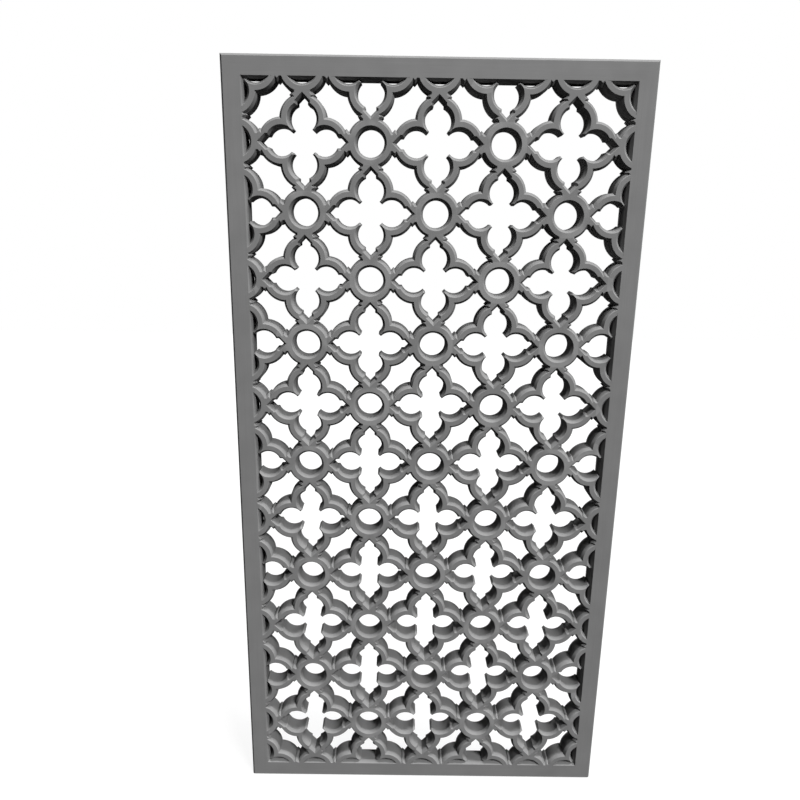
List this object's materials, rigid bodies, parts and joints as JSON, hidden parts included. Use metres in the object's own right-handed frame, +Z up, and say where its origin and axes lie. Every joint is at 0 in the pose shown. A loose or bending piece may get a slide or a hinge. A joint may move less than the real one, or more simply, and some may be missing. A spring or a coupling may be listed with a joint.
{
  "type": "lattice panel",
  "caption": "Upright pierced lattice panel of rings and pointed quatrefoils with bevelled front edges, tenoned together inside a flush mitred frame.",
  "frame": {"origin": "on the floor, under the middle of the panel, half way through its thickness", "axes": "+X across the panel to the right as its carved face is seen, +Y through it from the carved face to the plain back, +Z up"},
  "size_m": [0.9264, 0.053, 1.8],
  "materials": {
    "lattice_paint": "matt grey paint on carved hardwood",
    "frame_paint": "matt grey paint on planed hardwood",
    "spline_wood": "bare sawn hardwood"
  },
  "bodies": {
    "root": {"bottom_rail": "frame_paint", "left_stile": "frame_paint", "mitre_splines": "spline_wood", "quatrefoil_row01_col1": "lattice_paint", "quatrefoil_row01_col3": "lattice_paint", "quatrefoil_row01_col5": "lattice_paint", "quatrefoil_row02_col2": "lattice_paint", "quatrefoil_row02_col4": "lattice_paint", "quatrefoil_row03_col1": "lattice_paint", "quatrefoil_row03_col3": "lattice_paint", "quatrefoil_row03_col5": "lattice_paint", "quatrefoil_row04_col2": "lattice_paint", "quatrefoil_row04_col4": "lattice_paint", "quatrefoil_row05_col1": "lattice_paint", "quatrefoil_row05_col3": "lattice_paint", "quatrefoil_row05_col5": "lattice_paint", "quatrefoil_row06_col2": "lattice_paint", "quatrefoil_row06_col4": "lattice_paint", "quatrefoil_row07_col1": "lattice_paint", "quatrefoil_row07_col3": "lattice_paint", "quatrefoil_row07_col5": "lattice_paint", "quatrefoil_row08_col2": "lattice_paint", "quatrefoil_row08_col4": "lattice_paint", "quatrefoil_row09_col1": "lattice_paint", "quatrefoil_row09_col3": "lattice_paint", "quatrefoil_row09_col5": "lattice_paint", "quatrefoil_row10_col2": "lattice_paint", "quatrefoil_row10_col4": "lattice_paint", "quatrefoil_row11_col1": "lattice_paint", "quatrefoil_row11_col3": "lattice_paint", "quatrefoil_row11_col5": "lattice_paint", "right_stile": "frame_paint", "ring_row01_col2": "lattice_paint", "ring_row01_col4": "lattice_paint", "ring_row02_col1": "lattice_paint", "ring_row02_col3": "lattice_paint", "ring_row02_col5": "lattice_paint", "ring_row03_col2": "lattice_paint", "ring_row03_col4": "lattice_paint", "ring_row04_col1": "lattice_paint", "ring_row04_col3": "lattice_paint", "ring_row04_col5": "lattice_paint", "ring_row05_col2": "lattice_paint", "ring_row05_col4": "lattice_paint", "ring_row06_col1": "lattice_paint", "ring_row06_col3": "lattice_paint", "ring_row06_col5": "lattice_paint", "ring_row07_col2": "lattice_paint", "ring_row07_col4": "lattice_paint", "ring_row08_col1": "lattice_paint", "ring_row08_col3": "lattice_paint", "ring_row08_col5": "lattice_paint", "ring_row09_col2": "lattice_paint", "ring_row09_col4": "lattice_paint", "ring_row10_col1": "lattice_paint", "ring_row10_col3": "lattice_paint", "ring_row10_col5": "lattice_paint", "ring_row11_col2": "lattice_paint", "ring_row11_col4": "lattice_paint", "top_rail": "frame_paint"}
  },
  "joints": []
}
